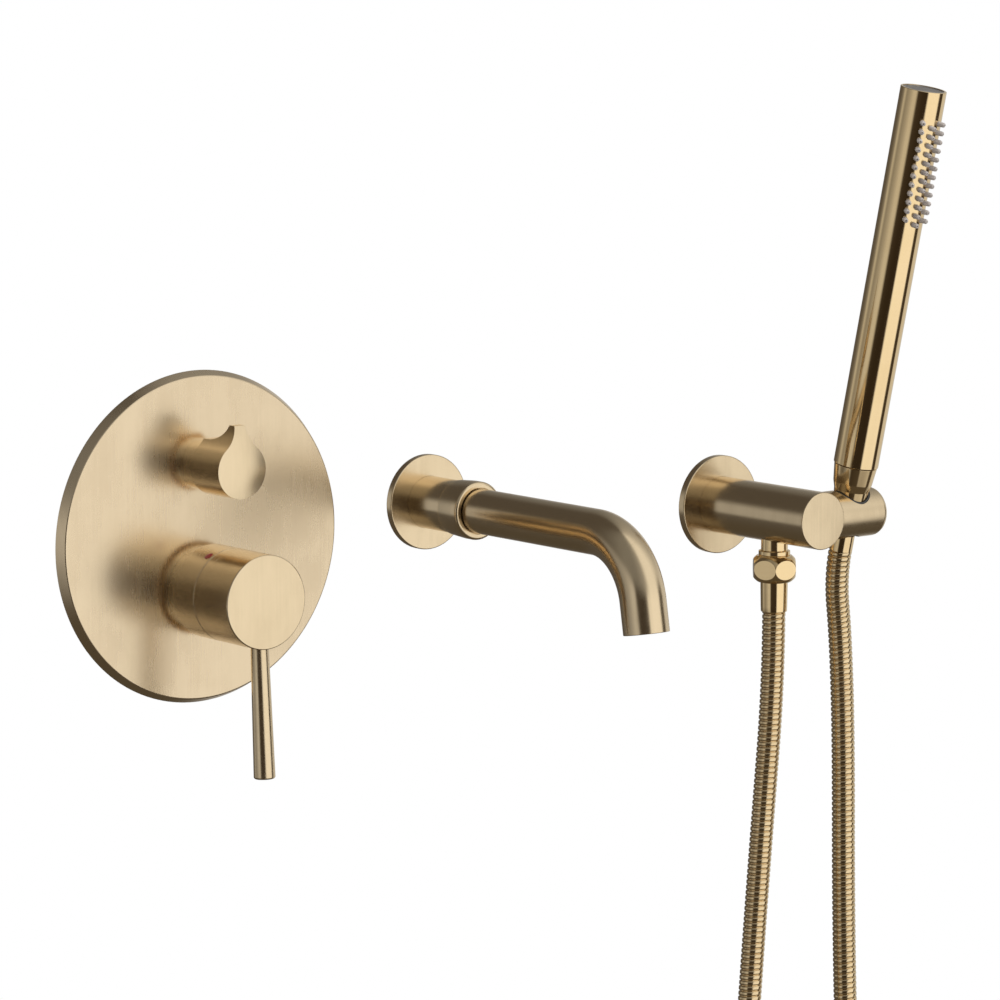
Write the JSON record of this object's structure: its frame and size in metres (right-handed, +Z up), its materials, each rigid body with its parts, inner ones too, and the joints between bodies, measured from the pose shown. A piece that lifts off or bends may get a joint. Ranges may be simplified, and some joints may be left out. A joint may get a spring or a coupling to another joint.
{
  "type": "wall mounted bath faucet",
  "caption": "Wall mounted bath mixer set: round plate with lever and diverter knob, curved spout, and slim hand shower on a wall bracket with a metal hose.",
  "frame": {"origin": "centre of the mixer plate, on the finished wall surface", "axes": "+X along the wall to the right, -Y out of the wall, +Z up"},
  "size_m": [0.579, 0.2738, 0.8644],
  "materials": {
    "brushed_gold": "brushed champagne gold",
    "polished_gold": "satin polished gold",
    "hose_gold": "polished spiral metal hose",
    "raw_brass": "cast and machined brass",
    "steel": "stainless",
    "black_rubber": "matt",
    "white_plastic": "moulded",
    "black_plastic": "matt black",
    "ceramic": "lapped ceramic",
    "index_red": "moulded, dark red",
    "grey_metal": "satin grey",
    "silicone": "translucent grey silicone"
  },
  "bodies": {
    "root": {"wall_plate": "brushed_gold", "plate_gasket": "black_rubber", "valve_body": "raw_brass", "mounting_strap": "steel", "strap_screws": "steel", "mixer_sleeve": "brushed_gold", "mixer_sleeve_seal": "black_rubber", "cartridge_housing": "white_plastic", "fixed_ceramic_disc": "ceramic", "cartridge_nut": "raw_brass", "diverter_sleeve": "brushed_gold", "diverter_sleeve_seal": "black_rubber", "diverter_cartridge": "raw_brass", "spout_nipple": "raw_brass", "spout_flange": "brushed_gold", "spout_sleeve": "brushed_gold", "collar_nut": "brushed_gold", "spout_tube": "brushed_gold", "spout_tube_seal": "black_rubber", "spout_grub_screw": "steel", "aerator_housing": "brushed_gold", "aerator_insert": "white_plastic", "bracket_nipple": "raw_brass", "bracket_flange": "brushed_gold", "bracket_body": "brushed_gold", "socket_barrel": "brushed_gold", "socket_liner": "black_plastic", "outlet_nipple": "polished_gold", "hose_washer": "black_rubber", "hose_nut": "polished_gold", "lower_ferrule": "polished_gold", "shower_hose": "hose_gold"},
    "mixer_rotor": {"cartridge_rotor": "white_plastic", "moving_ceramic_disc": "ceramic", "tilt_pin": "steel"},
    "mixer_handle": {"cartridge_stem": "steel", "handle_skirt": "brushed_gold", "skirt_grub_screw": "steel", "index_plug": "index_red", "handle_cap": "brushed_gold", "lever_rod": "polished_gold"},
    "diverter": {"diverter_stem": "raw_brass", "diverter_knob": "brushed_gold", "knob_grub_screw": "steel"},
    "hose_end": {"upper_ferrule": "polished_gold"},
    "handset": {"cone_nut": "polished_gold", "cone_washer": "black_rubber", "handset_tube": "polished_gold", "handset_cap": "grey_metal", "nozzle_strip": "silicone", "water_tube": "white_plastic", "handset_filter": "steel"}
  },
  "joints": [
    {"name": "temperature_turn", "type": "hinge", "parent": "root", "child": "mixer_rotor", "pos_m": [0, 0, -0.029], "axis": [0, -1, 0], "range_deg": [-45, 45]},
    {"name": "lever_lift", "type": "hinge", "parent": "mixer_rotor", "child": "mixer_handle", "pos_m": [0, 0, -0.029], "axis": [-1, 0, 0], "range_deg": [0, 15]},
    {"name": "diverter_turn", "type": "hinge", "parent": "root", "child": "diverter", "pos_m": [0, 0, 0.042], "axis": [0, -1, 0], "range_deg": [-90, 0]},
    {"name": "handset_lift_off", "type": "slide", "parent": "root", "child": "hose_end", "axis": [0.051, -0.181, 0.9822], "range_m": [0, 0.045]},
    {"name": "handset_swivel", "type": "hinge", "parent": "hose_end", "child": "handset", "pos_m": [0.423, -0.0825, -0.0154], "axis": [0.051, -0.181, 0.9822], "continuous": true}
  ]
}
